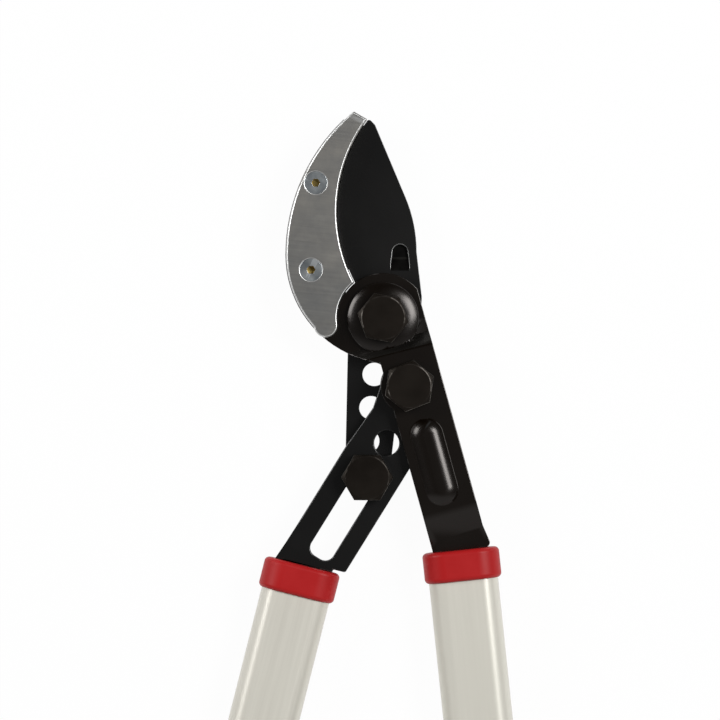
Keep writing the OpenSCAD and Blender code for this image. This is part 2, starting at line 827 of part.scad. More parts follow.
module main_bush() {
    color("goldenrod") ring(main_bush_r, main_d / 2 + fit_gap, under_z, mid_z + boss_h);
}

module main_spring() {
    ring_r = boss_r - boss_h - fit_gap;
    color("gray") ring(ring_r, main_bush_r + fit_gap, mid_z, mid_z + boss_h);
}

module main_washer() {
    color("silver") ring(washer_d / 2, main_d / 2 + fit_gap, washer_z, under_z);
}

module main_nut() {
    color("silver") thin_nut(main_d, main_turn);
}

// Lever pivot: the lip of its bush keeps the lever up, clear of the blade
module lever_bolt() {
    color("dimgray") at_lever_bolt() hex_bolt(lever_d, nut_z / 2, front_top, lever_turn);
}

module lever_bush() {
    color("goldenrod") at_lever_bolt() difference() {
        union() {
            translate([0, 0, under_z]) cylinder(h = front_z - under_z, r = lever_bush_r);
            translate([0, 0, under_z]) cylinder(h = blade_top - under_z, r = lever_lip_r);
        }
        translate([0, 0, under_z - cut]) cylinder(h = front_z, r = lever_d / 2 + fit_gap);
    }
}

module lever_washer() {
    color("silver") at_lever_bolt() ring(washer_d / 2, lever_d / 2 + fit_gap, washer_z, under_z);
}

module lever_nut() {
    color("silver") at_lever_bolt() thin_nut(lever_d, lever_turn);
}

// Slide bolt: its bush runs in the lever's slot
module slide_bolt() {
    color("dimgray") at_slide_bolt() hex_bolt(slide_d, nut_z / 2, front_z, slide_turn);
}

module slide_bush() {
    color("goldenrod") at_slide_bolt() ring(slide_bush_r, slide_d / 2 + fit_gap, mid_z, front_z);
}

module slide_washer() {
    color("silver") at_slide_bolt() ring(slide_washer_d / 2, slide_d / 2 + fit_gap, washer_z, under_z);
}

module slide_nut() {
    color("silver") at_slide_bolt() thin_nut(slide_d, slide_turn);
}

// Handles, all drawn in a frame whose -Y axis runs down the tube
module at_rivets() {
    for (i = [0:1]) translate([0, -rivet_first - i * rivet_step, 0]) children();
}

module rivet_hole() {
    cylinder(h = 2 * tube_t, d = rivet_d + 2 * fit_gap, center = true);
}

// Part of a plate that runs down inside the tube
module shank() {
    translate([-shank_w / 2, -shank_len, -plate_t / 2])
        cube([shank_w, shank_len + shank_w / 2, plate_t]);
}

module collar() {
    difference() {
        rotate([90, 0, 0]) oval_block(collar_w, collar_t, collar_h, collar_r);
        along(tube_top, collar_h) oval(tube_w + 2 * fit_gap, tube_t + 2 * fit_gap);
        along(cut, collar_h) square([shank_w + 2 * fit_gap, plate_t + 2 * fit_gap], center = true);
    }
}

module tube() {
    difference() {
        along(tube_top, tube_end - collar_floor) oval(tube_w, tube_t);
        along(tube_top + cut, tube_end) oval(tube_w - 2 * tube_wall, tube_t - 2 * tube_wall);
        at_rivets() rivet_hole();
    }
}

module insert() {
    length = shank_len + collar_floor;
    inset = 2 * tube_wall + 2 * fit_gap;
    difference() {
        along(tube_top, length) oval(tube_w - inset, tube_t - inset);
        along(0, length + cut) square([shank_w + 2 * fit_gap, plate_t + 2 * fit_gap], center = true);
        at_rivets() rivet_hole();
    }
}

module rivets() {
    at_rivets() {
        cylinder(h = tube_t + 2 * rivet_head_h, d = rivet_d, center = true);
        for (side = [0, 1]) mirror([0, 0, side]) translate([0, 0, tube_t / 2])
            cylinder(h = rivet_head_h, d1 = rivet_head_d, d2 = rivet_head_d - 2 * rivet_head_h);
    }
}

// The grip is as thick as the handle stands high, so that the lopper lies level
module grip() {
    difference() {
        translate([0, grip_len - tube_end, 0]) rotate([90, 0, 0]) {
            oval_block(grip_w - 2 * grip_waist, 2 * (axis_z - grip_waist), grip_len, grip_r);
            for (z = [0, grip_len - grip_ring_h]) translate([0, 0, z])
                oval_block(grip_w, 2 * axis_z, grip_ring_h, grip_r);
        }
        along(grip_len + cut - tube_end, grip_len + 2 * cut) oval(tube_w + 2 * fit_gap, tube_t + 2 * fit_gap);
    }
}

module end_cap() {
    inset = 2 * tube_wall + 2 * fit_gap;
    translate([0, -tube_end, 0]) rotate([90, 0, 0])
        oval_block(grip_w - 2 * cap_step, 2 * (axis_z - cap_step), cap_h, cap_r);
    along(cap_plug - tube_end, cap_plug + cut) oval(tube_w - inset, tube_t - inset);
}

module right_collar() {
    color("crimson") at_right() collar();
}

module left_collar() {
    color("crimson") at_left() collar();
}

module right_tube() {
    color("lightgray") at_right() tube();
}

module left_tube() {
    color("lightgray") at_left() tube();
}

module right_insert() {
    color("darkslategray") at_right() insert();
}

module left_insert() {
    color("darkslategray") at_left() insert();
}

module right_rivets() {
    color("silver") at_right() rivets();
}

module left_rivets() {
    color("silver") at_left() rivets();
}

module right_grip() {
    color("black") at_right() grip();
}

module left_grip() {
    color("black") at_left() grip();
}

module right_end_cap() {
    color("dimgray") at_right() end_cap();
}

module left_end_cap() {
    color("dimgray") at_left() end_cap();
}

anvil_arm();
anvil();
anvil_screws();
blade();
drive_lever();
main_bolt();
main_bush();
main_spring();
main_washer();
main_nut();
lever_bolt();
lever_bush();
lever_washer();
lever_nut();
slide_bolt();
slide_bush();
slide_washer();
slide_nut();
right_collar();
left_collar();
right_tube();
left_tube();
right_insert();
left_insert();
right_rivets();
left_rivets();
right_grip();
left_grip();
right_end_cap();
left_end_cap();
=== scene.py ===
import json
import math

import bmesh
import bpy
from mathutils import Matrix, Vector


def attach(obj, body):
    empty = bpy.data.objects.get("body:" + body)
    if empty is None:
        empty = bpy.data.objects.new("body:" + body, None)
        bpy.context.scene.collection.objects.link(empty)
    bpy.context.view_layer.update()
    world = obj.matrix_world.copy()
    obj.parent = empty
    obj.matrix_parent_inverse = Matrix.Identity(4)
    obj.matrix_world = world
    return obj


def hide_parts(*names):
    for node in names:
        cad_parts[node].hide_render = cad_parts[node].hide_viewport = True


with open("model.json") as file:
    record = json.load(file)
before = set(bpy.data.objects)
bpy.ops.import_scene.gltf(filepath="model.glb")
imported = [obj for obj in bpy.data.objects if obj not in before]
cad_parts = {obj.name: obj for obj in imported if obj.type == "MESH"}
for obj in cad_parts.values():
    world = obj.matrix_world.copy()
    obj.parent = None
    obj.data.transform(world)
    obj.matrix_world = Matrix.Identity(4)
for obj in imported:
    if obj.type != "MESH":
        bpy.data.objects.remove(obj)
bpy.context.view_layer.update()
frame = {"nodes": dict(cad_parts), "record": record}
nodes = frame["nodes"]
record = frame["record"]
scene = bpy.context.scene
MM = 0.001

BODY = {node: body for body, names in record["behaviour"]["bodies"].items() for node in names}

# Sizes that the looks share with the part, in millimetres and degrees
ARM_TILT = 15.5
RIGHT_TILT = 6.0
LEFT_TILT = -14.2
RIGHT_TOP = (32.5, -97.4)
LEFT_TOP = (-33.6, -103.8)
TONGUE = (7.2, 27.8)
TONGUE_BELOW, TONGUE_ABOVE, TONGUE_ASIDE = 8.1, 3.5, 4.5
TONGUE_DEEP, TONGUE_KNEE = 1.9, 1.7
SCREWS = ((-28.2, 56.7), (-30.2, 20.2))
UPPER_BENDS = (10.24, 15.24, 12.4, 17.4)
LOWER_BENDS = (85.55, 84.4)
STEP_SPAN = (10.0, 17.6)
BEAD_X = 4.5
BEAD_REACH = 8.0
BEAD_SPAN = (44.0, 84.0)
BOSS_REACH = 15.6
BOSS_FOOT = 8.5
TUBE_FROM = 106.0
# Span across the arm over which the painted light on the arm's slope fades out
SLOPE_LIGHT_FADE = (18.0, 22.0)
EDGE = (45.8, 44.8)
EDGE_R = 64.9
LIP_IN, LIP_OUT = -0.6, 0.6
LIP_Z, LIP_T = 9.2, 1.6
LIP_FROM, LIP_TURN = 146.0, 56.0
SCREW_REACH = 7.0
SOCKET_REACH = 2.2
BLADE_TOP = 11.5
PLATE_TOP = 16.8
CHEEK_TOP = 20.8
CHEEK_RIM = 1.2
SOCKET_DEEP = 3.0
SKIN = 0.05
AXIS_Z = 14.3
TUBE_END = 548.0
GRIP_LEN = 150.0
GRIP_W, GRIP_T = 38.0, 28.6
GRIP_BORE = (29.3, 15.1)
GRIP_R = 6.0
GRIP_RING = 13.0
GRIP_WAIST = 1.6
RIB_STEP = 5.2
RIB_H = 0.9

# Heights of the level cuts through the holes of each plate, in millimetres
ARM_CUTS = (0.0, 20.2, 56.7, -28.5, -61.0)
BLADE_CUTS = (0.0, -23.7, -37.74, -51.77, -65.9, 22.5)
ANVIL_CUTS = (20.2, 56.7)
LEVER_CUTS = (-28.5, -52.56, -82.0)

# Photo: millimetres to a pixel, pixels to a side, and the points that the camera and the lamps face
PIXEL = 0.42
PIXELS = 720
VIEW = (-9.66, -17.64, 17.0)
LIT = (10.0, -20.0, 17.0)

# Studio, in metres
VIEW_HEIGHT = 2.4
LAMP_FAR = 1.6
LAMP_SIZE = (0.80, 0.62)
FLOOR_HALF = 12.0
FLOOR_WHITE = 0.965


# Node groups shared by the finishes

def new_group(name, inputs, outputs):
    group = bpy.data.node_groups.new(name, "ShaderNodeTree")
    for label, kind, value in inputs:
        socket = group.interface.new_socket(label, in_out="INPUT", socket_type=kind)
        if value is not None:
            socket.default_value = value
    for label, kind in outputs:
        group.interface.new_socket(label, in_out="OUTPUT", socket_type=kind)
    return group, group.nodes.new("NodeGroupInput"), group.nodes.new("NodeGroupOutput")


def add(tree, kind, links=None, **values):
    """One node, with its settings by name and its sockets by label."""
    node = tree.nodes.new("ShaderNode" + kind)
    for key, value in values.items():
        setattr(node, key, value)
    for label, source in (links or {}).items():
        socket = node.inputs[label]
        if isinstance(source, bpy.types.NodeSocket):
            tree.links.new(source, socket)
        else:
            socket.default_value = source
    return node


def spread(tree, value, low, high, to_low, to_high):
    """Value between low and high carried to another range, cut off at its ends."""
    node = add(tree, "MapRange", {
        "Value": value, "From Min": low, "From Max": high, "To Min": to_low, "To Max": to_high})
    return node.outputs["Result"]


def grain_group():
    """Fine unevenness of a painted or moulded skin, as a height."""
    group, given, out = new_group("skin_grain", [
        ("Place", "NodeSocketVector", None), ("Size", "NodeSocketFloat", 1200.0)],
        [("Height", "NodeSocketFloat")])
    fine = add(group, "TexNoise", {
        "Vector": given.outputs["Place"], "Scale": given.outputs["Size"], "Detail": 2.0, "Roughness": 0.5})
    coarse_size = add(group, "Math", {0: given.outputs["Size"], 1: 0.22}, operation="MULTIPLY")
    coarse = add(group, "TexNoise", {
        "Vector": given.outputs["Place"], "Scale": coarse_size.outputs[0], "Detail": 3.0, "Roughness": 0.5})
    half = add(group, "Math", {0: coarse.outputs["Fac"], 1: 0.6}, operation="MULTIPLY")
    total = add(group, "Math", {0: fine.outputs["Fac"], 1: half.outputs[0]}, operation="ADD")
    group.links.new(total.outputs[0], out.inputs["Height"])
    return group


def patch_group():
    """Large soft patches, from 0 to 1."""
    group, given, out = new_group("soft_patches", [
        ("Place", "NodeSocketVector", None), ("Size", "NodeSocketFloat", 40.0)],
        [("Mask", "NodeSocketFloat")])
    noise = add(group, "TexNoise", {
        "Vector": given.outputs["Place"], "Scale": given.outputs["Size"], "Detail": 4.0, "Roughness": 0.55})
    group.links.new(spread(group, noise.outputs["Fac"], 0.3, 0.7, 0.0, 1.0), out.inputs["Mask"])
    return group


def line_group():
    """Fine parallel lines that run along the piece's turned Y axis, from 0 to 1."""
    group, given, out = new_group("drawn_lines", [
        ("Place", "NodeSocketVector", None), ("Turn", "NodeSocketFloat", 0.0),
        ("Across", "NodeSocketFloat", 900.0)],
        [("Mask", "NodeSocketFloat")])
    angle = add(group, "CombineXYZ", {"Z": given.outputs["Turn"]})
    turned = add(
        group, "VectorRotate", {"Vector": given.outputs["Place"], "Rotation": angle.outputs[0]},
        rotation_type="EULER_XYZ", invert=True)
    long = add(group, "VectorMath", {0: turned.outputs[0], 1: (1.0, 0.02, 1.0)}, operation="MULTIPLY")
    noise = add(group, "TexNoise", {
        "Vector": long.outputs[0], "Scale": given.outputs["Across"], "Detail": 3.0, "Roughness": 0.6})
    group.links.new(spread(group, noise.outputs["Fac"], 0.3, 0.7, 0.0, 1.0), out.inputs["Mask"])
    return group


def scratch_group():
    """A few thin scratches in two directions, from 0 to 1."""
    group, given, out = new_group("thin_scratches", [
        ("Place", "NodeSocketVector", None), ("Size", "NodeSocketFloat", 260.0),
        ("Rare", "NodeSocketFloat", 0.70)],
        [("Mask", "NodeSocketFloat")])
    marks = []
    for turn, shift in ((0.5, 0.0), (-1.1, 3.7)):
        turned = add(
            group, "VectorRotate", {"Vector": given.outputs["Place"], "Angle": turn}, rotation_type="Z_AXIS")
        long = add(group, "VectorMath", {0: turned.outputs[0], 1: (1.0, 0.06, 1.0)}, operation="MULTIPLY")
        moved = add(group, "VectorMath", {0: long.outputs[0], 1: (shift, shift, 0.0)}, operation="ADD")
        noise = add(group, "TexNoise", {
            "Vector": moved.outputs[0], "Scale": given.outputs["Size"], "Detail": 1.0})
        above = add(group, "Math", {0: noise.outputs["Fac"], 1: given.outputs["Rare"]}, operation="SUBTRACT")
        marks.append(spread(group, above.outputs[0], 0.0, 0.02, 0.0, 1.0))
    both = add(group, "Math", {0: marks[0], 1: marks[1]}, operation="MAXIMUM")
    group.links.new(both.outputs[0], out.inputs["Mask"])
    return group


def edge_wear_and_highlight_group():
    """Broken wear, and on some pieces a painted highlight, where the mesh says that an edge is, from 0 to 1.
    """
    group, given, out = new_group("edge_wear_and_highlight", [
        ("Place", "NodeSocketVector", None), ("Edge", "NodeSocketFloat", 0.0),
        ("Amount", "NodeSocketFloat", 0.5)],
        [("Mask", "NodeSocketFloat")])
    noise = add(group, "TexNoise", {
        "Vector": given.outputs["Place"], "Scale": 160.0, "Detail": 5.0, "Roughness": 0.65})
    limit = add(group, "Math", {0: 0.75, 1: given.outputs["Amount"]}, operation="SUBTRACT")
    above = add(group, "Math", {0: noise.outputs["Fac"], 1: limit.outputs[0]}, operation="SUBTRACT")
    broken = spread(group, above.outputs[0], 0.0, 0.2, 0.0, 1.0)
    worn_and_lit = add(group, "Math", {0: broken, 1: given.outputs["Edge"]}, operation="MULTIPLY")
    group.links.new(worn_and_lit.outputs[0], out.inputs["Mask"])
    return group


GRAIN = grain_group()
PATCHES = patch_group()
LINES = line_group()
SCRATCHES = scratch_group()
EDGE_WEAR_AND_HIGHLIGHT = edge_wear_and_highlight_group()


class Finish:
    """A Principled material with the shared groups at hand."""

    def __init__(self, name, **values):
        self.material = bpy.data.materials.new(name)
        self.material.use_nodes = True
        self.tree = self.material.node_tree
        self.shader = self.tree.nodes["Principled BSDF"]
        self.place = self.tree.nodes.new("ShaderNodeTexCoord").outputs["Object"]
        for label, value in values.items():
            self.shader.inputs[label.replace("_", " ")].default_value = value

    def group(self, group, output, **values):
        node = self.tree.nodes.new("ShaderNodeGroup")
        node.node_tree = group
        self.tree.links.new(self.place, node.inputs["Place"])
        for label, value in values.items():
            if isinstance(value, bpy.types.NodeSocket):
                self.tree.links.new(value, node.inputs[label])
            else:
                node.inputs[label].default_value = value
        return node.outputs[output]

    def mark(self, name):
        """Value that the mesh gives each face under this name."""
        return add(self.tree, "Attribute", attribute_name=name).outputs["Fac"]

    def mix(self, factor, first, second):
        node = add(self.tree, "Mix", data_type="RGBA")
        for socket, value in zip((node.inputs[0], node.inputs[6], node.inputs[7]), (factor, first, second)):
            if isinstance(value, bpy.types.NodeSocket):
                self.tree.links.new(value, socket)
            else:
                socket.default_value = (*value, 1.0)
        return node.outputs[2]

    def scaled(self, value, share):
        return add(self.tree, "Math", {0: value, 1: share}, operation="MULTIPLY").outputs[0]

    def drive(self, label, source):
        self.tree.links.new(source, self.shader.inputs[label])

    def bump(self, height, strength, distance):
        node = add(self.tree, "Bump", {"Height": height, "Strength": strength, "Distance": distance})
        self.drive("Normal", node.outputs["Normal"])


def black_paint(name, dark, pale, tint):
    """Satin paint: lightened on the marked slope where the arm steps up under the boss, as painted light over
    a bend that renders dark, and with its sheen damped on the marked fillet round its bead, as painted shade.
    """
    finish = Finish(name, Metallic=0.0, Specular_Tint=(*tint, 1.0))
    patches = finish.group(PATCHES, "Mask", Size=30.0)
    grain = finish.group(GRAIN, "Height", Size=1500.0)
    worn_and_lit = finish.group(EDGE_WEAR_AND_HIGHLIGHT, "Mask", Edge=finish.mark("wear_and_highlight"), Amount=0.24)
    marks = finish.group(SCRATCHES, "Mask", Size=150.0, Rare=0.80)
    across = add(finish.tree, "SeparateXYZ", {0: finish.place}).outputs["X"]
    beside = spread(finish.tree, across, SLOPE_LIGHT_FADE[0] * MM, SLOPE_LIGHT_FADE[1] * MM, 1.0, 0.0)
    slope_painted_light = add(finish.tree, "Math", {0: beside, 1: finish.mark("slope_painted_light")}, operation="MULTIPLY").outputs[0]
    marked = finish.mix(marks, finish.mix(patches, dark, pale), (0.02, 0.02, 0.02))
    # Lighter colour on the marked slope: painted light over the bend under the boss
    lightened = finish.mix(slope_painted_light, marked, (0.0088, 0.0080, 0.0070))
    # Marked edges lighten: broken wear that also acts as a painted highlight along the bevels
    finish.drive("Base Color", finish.mix(worn_and_lit, lightened, (0.055, 0.054, 0.052)))
    finish.drive("Roughness", spread(finish.tree, patches, 0.0, 1.0, 0.21, 0.27))
    # Lower sheen on the marked bead fillet: painted shade that hides its second highlight
    finish.drive("Specular IOR Level", spread(finish.tree, finish.mark("damped_sheen"), 0.0, 1.0, 0.5, 0.08))
    finish.bump(grain, 0.07, 0.00004)
    return finish.material


def black_oxide():
    """Dull brown-black skin of the bolts."""
    finish = Finish("black_oxide", Metallic=0.0, Specular_IOR_Level=0.2, Specular_Tint=(1.0, 0.88, 0.77, 1.0))
    patches = finish.group(PATCHES, "Mask", Size=90.0)
    grain = finish.group(GRAIN, "Height", Size=2200.0)
    worn_and_lit = finish.group(EDGE_WEAR_AND_HIGHLIGHT, "Mask", Edge=finish.mark("wear_and_highlight"), Amount=0.30)
    skin = finish.mix(patches, (0.0026, 0.0017, 0.0010), (0.0044, 0.0030, 0.0020))
    # Marked faces lighten: painted highlight on the bolt heads, with broken wear
    finish.drive("Base Color", finish.mix(worn_and_lit, skin, (0.17, 0.155, 0.14)))
    finish.drive("Roughness", spread(finish.tree, patches, 0.0, 1.0, 0.40, 0.52))
    finish.bump(grain, 0.16, 0.00005)
    return finish.material


def painted_shade_paint():
    """Dull dark paint that stands in for shade: painted shade for the pressed tongue and the anvil's lip."""
    finish = Finish("painted_shade_paint", Metallic=0.0, Specular_IOR_Level=0.12)
    patches = finish.group(PATCHES, "Mask", Size=220.0)
    grain = finish.group(GRAIN, "Height", Size=1800.0)
    worn_and_lit = finish.group(EDGE_WEAR_AND_HIGHLIGHT, "Mask", Edge=finish.mark("wear_and_highlight"), Amount=0.45)
    skin = finish.mix(patches, (0.0012, 0.0011, 0.0010), (0.0026, 0.0024, 0.0020))
    # Marked faces lighten: the painted highlight on the tongue's knee, with broken wear
    finish.drive("Base Color", finish.mix(worn_and_lit, skin, (0.012, 0.0115, 0.010)))
    finish.drive("Roughness", spread(finish.tree, patches, 0.0, 1.0, 0.28, 0.38))
    finish.bump(grain, 0.12, 0.00005)
    return finish.material


def anvil_alloy():
    """Brushed soft alloy, with a painted highlight along its chamfers."""
    finish = Finish("anvil_alloy", Metallic=1.0)
    lines = finish.group(LINES, "Mask", Turn=math.radians(84), Across=1500.0)
    patches = finish.group(PATCHES, "Mask", Size=26.0)
    spots = finish.group(PATCHES, "Mask", Size=170.0)
    marks = finish.group(SCRATCHES, "Mask", Size=130.0, Rare=0.74)
    brushed = finish.mix(lines, (0.287, 0.288, 0.280), (0.348, 0.346, 0.332))
    cloudy = finish.mix(patches, brushed, (0.425, 0.405, 0.368))
    spotted = finish.mix(finish.scaled(spots, 0.5), cloudy, (0.235, 0.238, 0.242))
    marked = finish.mix(marks, spotted, (0.52, 0.52, 0.51))
    # Marked chamfers turn bright: painted highlight
    finish.drive("Base Color", finish.mix(finish.mark("wear_and_highlight"), marked, (0.80, 0.80, 0.79)))
    finish.drive("Roughness", spread(finish.tree, lines, 0.0, 1.0, 0.38, 0.42))
    finish.bump(lines, 0.03, 0.00004)
    return finish.material


def zinc():
    finish = Finish("zinc_plate", Metallic=1.0)
    patches = finish.group(PATCHES, "Mask", Size=160.0)
    grain = finish.group(GRAIN, "Height", Size=2600.0)
    marks = finish.group(SCRATCHES, "Mask", Size=420.0, Rare=0.64)
    skin = finish.mix(patches, (0.36, 0.40, 0.43), (0.50, 0.53, 0.54))
    marked = finish.mix(finish.scaled(marks, 0.7), skin, (0.80, 0.84, 0.86))
    finish.drive("Base Color", finish.mix(finish.scaled(finish.mark("wear_and_highlight"), 0.5), marked, (0.72, 0.75, 0.76)))
    finish.drive("Roughness", spread(finish.tree, patches, 0.0, 1.0, 0.28, 0.40))
    finish.bump(grain, 0.12, 0.00004)
    return finish.material


def yellow_socket():
    """Yellow passivated sockets of the screws."""
    finish = Finish("yellow_socket", Metallic=1.0)
    patches = finish.group(PATCHES, "Mask", Size=500.0)
    finish.drive("Base Color", finish.mix(patches, (0.30, 0.20, 0.05), (0.62, 0.50, 0.20)))
    finish.drive("Roughness", spread(finish.tree, patches, 0.0, 1.0, 0.25, 0.45))
    return finish.material


def bare_steel():
    """Bright edge where the tongue was cut."""
    finish = Finish("bare_steel", Metallic=1.0)
    patches = finish.group(PATCHES, "Mask", Size=300.0)
    finish.drive("Base Color", finish.mix(patches, (0.16, 0.16, 0.16), (0.42, 0.42, 0.41)))
    finish.drive("Roughness", spread(finish.tree, patches, 0.0, 1.0, 0.35, 0.5))
    return finish.material


def bronze():
    finish = Finish("bearing_bronze", Metallic=1.0)
    patches = finish.group(PATCHES, "Mask", Size=200.0)
    finish.drive("Base Color", finish.mix(patches, (0.42, 0.25, 0.10), (0.52, 0.34, 0.16)))
    finish.drive("Roughness", spread(finish.tree, patches, 0.0, 1.0, 0.3, 0.42))
    return finish.material


def red_plastic():
    finish = Finish("red_plastic", Metallic=0.0, Specular_IOR_Level=0.25)
    patches = finish.group(PATCHES, "Mask", Size=70.0)
    grain = finish.group(GRAIN, "Height", Size=1500.0)
    finish.drive("Base Color", finish.mix(patches, (0.400, 0.0085, 0.0095), (0.440, 0.0110, 0.0120)))
    finish.drive("Roughness", spread(finish.tree, patches, 0.0, 1.0, 0.40, 0.50))
    finish.bump(grain, 0.14, 0.00006)
    return finish.material


def tube_alloy(name, tilt):
    """Satin drawn tube, with its lines down the tube."""
    finish = Finish(name, Metallic=0.15)
    lines = finish.group(LINES, "Mask", Turn=math.radians(tilt), Across=700.0)
    patches = finish.group(PATCHES, "Mask", Size=18.0)
    drawn = finish.mix(lines, (0.69, 0.665, 0.59), (0.76, 0.735, 0.655))
    finish.drive("Base Color", finish.mix(patches, drawn, (0.72, 0.70, 0.62)))
    finish.drive("Roughness", spread(finish.tree, lines, 0.0, 1.0, 0.30, 0.38))
    finish.bump(lines, 0.02, 0.00002)
    return finish.material


def grip_rubber():
    finish = Finish("grip_rubber", Metallic=0.0)
    patches = finish.group(PATCHES, "Mask", Size=60.0)
    grain = finish.group(GRAIN, "Height", Size=900.0)
    finish.drive("Base Color", finish.mix(patches, (0.014, 0.014, 0.014), (0.022, 0.0215, 0.021)))
    finish.drive("Roughness", spread(finish.tree, patches, 0.0, 1.0, 0.62, 0.78))
    finish.bump(grain, 0.35, 0.00012)
    return finish.material


def dark_plastic():
    finish = Finish("dark_plastic", Metallic=0.0)
    patches = finish.group(PATCHES, "Mask", Size=80.0)
    grain = finish.group(GRAIN, "Height", Size=1300.0)
    finish.drive("Base Color", finish.mix(patches, (0.016, 0.016, 0.016), (0.024, 0.0235, 0.023)))
    finish.drive("Roughness", spread(finish.tree, patches, 0.0, 1.0, 0.42, 0.55))
    finish.bump(grain, 0.2, 0.00006)
    return finish.material


PAINT = black_paint("black_paint", (0.0044, 0.0043, 0.0042), (0.0058, 0.0056, 0.0053), (1.0, 1.0, 1.0))
WARM_PAINT = black_paint(
    "warm_black_paint", (0.0022, 0.0010, 0.0002), (0.0032, 0.0018, 0.0008), (1.0, 0.945, 0.91))
OXIDE = black_oxide()
PAINTED_SHADE = painted_shade_paint()
ANVIL = anvil_alloy()
ZINC = zinc()
SOCKET = yellow_socket()
STEEL = bare_steel()
BRONZE = bronze()
RED = red_plastic()
RIGHT_TUBE = tube_alloy("right_tube_alloy", RIGHT_TILT)
LEFT_TUBE = tube_alloy("left_tube_alloy", LEFT_TILT)
RUBBER = grip_rubber()
PLASTIC = dark_plastic()


# Pieces: merged copies of the part's solids with their edges rounded

def merged(node, cuts=()):
    """Copy of a solid with large flat faces, which level cuts through its holes keep simple."""
    bm = bmesh.new()
    bm.from_mesh(nodes[node].data)
    bm.faces.layers.float.new("wear_and_highlight")
    bm.faces.layers.float.new("slope_painted_light")
    bm.faces.layers.float.new("damped_sheen")
    bmesh.ops.remove_doubles(bm, verts=bm.verts, dist=0.002 * MM)
    for y in cuts:
        made = bmesh.ops.bisect_plane(
            bm, geom=[*bm.verts, *bm.edges, *bm.faces], dist=0.0005 * MM,
            plane_co=(0.0, y * MM, 0.0), plane_no=(0.0, 1.0, 0.0))
        for element in made["geom_cut"]:
            if isinstance(element, bmesh.types.BMEdge):
                element.seam = True
    bmesh.ops.dissolve_limit(
        bm, angle_limit=math.radians(0.3), verts=bm.verts, edges=bm.edges, delimit={"SEAM"})
    return bm


def sharp_edges(bm, least=28, most=180):
    return [e for e in bm.edges
            if e.is_manifold and math.radians(least) < e.calc_face_angle() < math.radians(most)]


def round_edges(bm, edges, width, segments=2, wear_and_highlight=1.0):
    """Bevels the edges and marks the new faces for wear and painted highlight."""
    made = bmesh.ops.bevel(
        bm, geom=edges, offset=width * MM, offset_type="OFFSET", segments=segments, profile=0.5,
        affect="EDGES", clamp_overlap=False, material=-1)
    layer = bm.faces.layers.float["wear_and_highlight"]
    for face in made["faces"]:
        face[layer] = wear_and_highlight
    return made["faces"]


def finish_piece(bm, node, materials, smooth=32):
    name = node + "_finished"
    mesh = bpy.data.meshes.new(name)
    bm.to_mesh(mesh)
    bm.free()
    for material in materials:
        mesh.materials.append(material)
    mesh.shade_smooth()
    mesh.set_sharp_from_angle(angle=math.radians(smooth))
    piece = bpy.data.objects.new(name, mesh)
    scene.collection.objects.link(piece)
    flat = piece.modifiers.new("flat_faces", "WEIGHTED_NORMAL")
    flat.keep_sharp = True
    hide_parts(node)
    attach(piece, BODY[node])


def rounded_piece(node, material, width, segments=2, wear_and_highlight=1.0, cuts=()):
    bm = merged(node, cuts)
    round_edges(bm, sharp_edges(bm), width, segments, wear_and_highlight)
    finish_piece(bm, node, [material])


def middle(element):
    if isinstance(element, bmesh.types.BMFace):
        return element.calc_center_median()
    return (element.verts[0].co + element.verts[1].co) / 2


def arm_piece():
    """Plate with soft bends, a fillet round its bead, and painted light on the step under its boss."""
    bm = merged("anvil_arm", ARM_CUTS)
    turn = Matrix.Rotation(math.radians(-ARM_TILT), 4, "Z")
    slope_painted_light = bm.faces.layers.float["slope_painted_light"]
    damped_sheen = bm.faces.layers.float["damped_sheen"]

    def on_bend(edge, bends):
        down = -(turn @ middle(edge)).y / MM
        level = all(abs(f.normal.z) > 0.5 for f in edge.link_faces)
        return level and any(abs(down - at) < 0.3 for at in bends)

    def on_slope(face):
        at = turn @ middle(face) / MM
        return STEP_SPAN[0] < -at.y < STEP_SPAN[1]

    def on_bead(edge):
        at = turn @ middle(edge) / MM
        level = all(f.normal.z > 0.5 for f in edge.link_faces)
        return level and abs(at.x - BEAD_X) < BEAD_REACH and BEAD_SPAN[0] < -at.y < BEAD_SPAN[1]

    def in_tube(edge):
        return -(turn @ middle(edge)).y / MM > TUBE_FROM

    def on_boss(edge):
        at = middle(edge) / MM
        level = abs(at.z - PLATE_TOP) < 0.1
        return level and math.hypot(at.x, at.y) < BOSS_REACH and (turn @ at).y > -BOSS_FOOT

    round_edges(bm, [e for e in sharp_edges(bm, 15, 70) if on_boss(e)], 0.5, 3, 0.0)
    # Slope faces under the boss are marked for painted light
    for face in bm.faces:
        if 0.5 < face.normal.z < 0.8 and on_slope(face):
            face[slope_painted_light] = 1.0
    convex = [e for e in sharp_edges(bm, 15, 70) if on_bend(e, UPPER_BENDS) and e.is_convex]
    round_edges(bm, convex, 1.4, 4, 0.0)
    round_edges(bm, [e for e in sharp_edges(bm, 15, 70) if on_bend(e, LOWER_BENDS)], 2.2, 5, 0.0)
    # Fillet faces that face the lamps are marked for damped sheen, a painted shade
    for face in round_edges(bm, [e for e in sharp_edges(bm, 15, 70) if on_bead(e)], 0.45, 3, 0.0):
        side = (turn @ face.normal).xy.normalized()
        lamp_facing = side.x > 0.4 or (side.x < 0.0 and side.y > 0.2)
        face[damped_sheen] = 0.9 if lamp_facing else 0.0
    round_edges(bm, [e for e in sharp_edges(bm) if e.is_convex and not in_tube(e)], 0.3, 2)
    finish_piece(bm, "anvil_arm", [WARM_PAINT], 24)


